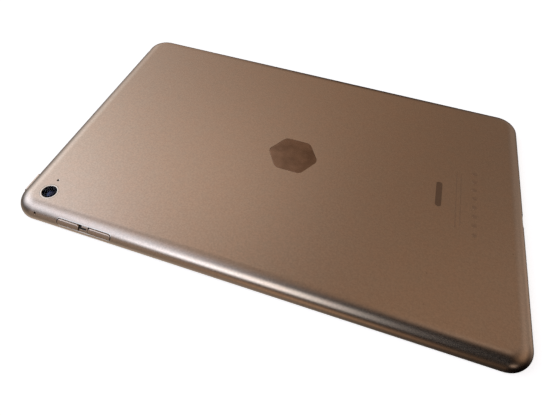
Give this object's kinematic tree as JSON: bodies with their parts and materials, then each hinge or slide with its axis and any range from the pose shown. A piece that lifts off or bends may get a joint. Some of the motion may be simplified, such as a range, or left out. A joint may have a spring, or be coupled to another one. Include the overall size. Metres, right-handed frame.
{
  "type": "tablet computer",
  "caption": "Slim tablet computer with a round-edged anodised aluminium back, rear camera in one corner, side buttons and a glass front with a home button.",
  "frame": {"origin": "centre of the cover glass's outer face", "axes": "+X along the long side from the camera end to the charging end, -Y towards the side with the volume buttons, +Z out of the aluminium back; the display faces -Z"},
  "size_m": [0.2036, 0.1348, 0.0061],
  "materials": {
    "anodised_case": "fine blasted and anodised, soft gold",
    "button_metal": "anodised gold, polished edge",
    "polished_trim": "polished pale gold",
    "emblem_mirror": "mirror-polished bronze",
    "front_glass": "clear glass over a white printed border and a black display",
    "camera_glass": "black-masked glass with a clear middle",
    "display_glass": "dark, switched off",
    "lens_black": "black barrel with a coated lens",
    "black_plastic": "moulded, matt",
    "white_plastic": "moulded",
    "chip_black": "moulded chip package",
    "steel_sheet": "stamped sheet",
    "steel_mesh": "black woven mesh",
    "screw_steel": "plated",
    "magnet": "nickel-plated",
    "circuit_board": "green solder mask",
    "battery_foil": "laminated foil pouch",
    "cable_film": "polyimide film"
  },
  "bodies": {
    "casing": {"rear_case": "anodised_case", "emblem_inlay": "emblem_mirror", "cover_glass": "front_glass", "glass_gasket": "black_plastic", "display_panel": "display_glass", "display_backlight": "white_plastic", "display_backplate": "steel_sheet", "camera_trim_ring": "polished_trim", "camera_window": "camera_glass", "camera_body": "black_plastic", "front_camera": "black_plastic", "light_sensor": "black_plastic", "rear_microphone": "steel_sheet", "side_microphone": "steel_sheet", "power_switch": "steel_sheet", "power_bracket": "steel_sheet", "volume_up_switch": "steel_sheet", "volume_down_switch": "steel_sheet", "volume_bracket": "steel_sheet", "home_button_switch": "steel_sheet", "home_button_bracket": "steel_sheet", "headphone_jack": "black_plastic", "charging_port": "black_plastic", "left_speaker": "black_plastic", "right_speaker": "black_plastic", "left_speaker_mesh": "steel_mesh", "right_speaker_mesh": "steel_mesh", "battery_cell": "battery_foil", "battery_board": "circuit_board", "logic_board": "circuit_board", "processor_shield": "steel_sheet", "processor": "chip_black", "memory_shield": "steel_sheet", "memory": "chip_black", "radio_shield": "steel_sheet", "display_cable": "cable_film", "camera_cable": "cable_film", "port_cable": "cable_film", "left_antenna": "cable_film", "right_antenna": "cable_film", "cover_magnet_1": "magnet", "cover_magnet_2": "magnet", "cover_magnet_3": "magnet", "cover_magnet_4": "magnet", "board_screw_1": "screw_steel", "board_screw_2": "screw_steel", "board_screw_3": "screw_steel", "board_screw_4": "screw_steel", "port_screw_1": "screw_steel", "port_screw_2": "screw_steel"},
    "power_button": {"power_button": "button_metal"},
    "volume_up_button": {"volume_up_button": "button_metal"},
    "volume_down_button": {"volume_down_button": "button_metal"},
    "home_button": {"home_button_cover": "front_glass", "home_button_ring": "polished_trim", "home_button_carrier": "white_plastic"},
    "camera_barrel": {"camera_lens_barrel": "lens_black"}
  },
  "joints": [
    {"name": "power_button_press", "type": "slide", "parent": "casing", "child": "power_button", "axis": [1, 0, 0], "range_m": [0, 0.0003]},
    {"name": "volume_up_press", "type": "slide", "parent": "casing", "child": "volume_up_button", "axis": [0, 1, 0], "range_m": [0, 0.0003]},
    {"name": "volume_down_press", "type": "slide", "parent": "casing", "child": "volume_down_button", "axis": [0, 1, 0], "range_m": [0, 0.0003]},
    {"name": "home_button_press", "type": "slide", "parent": "casing", "child": "home_button", "axis": [0, 0, 1], "range_m": [0, 0.0003]},
    {"name": "camera_focus", "type": "slide", "parent": "casing", "child": "camera_barrel", "axis": [0, 0, 1], "range_m": [0, 0.00025]}
  ]
}
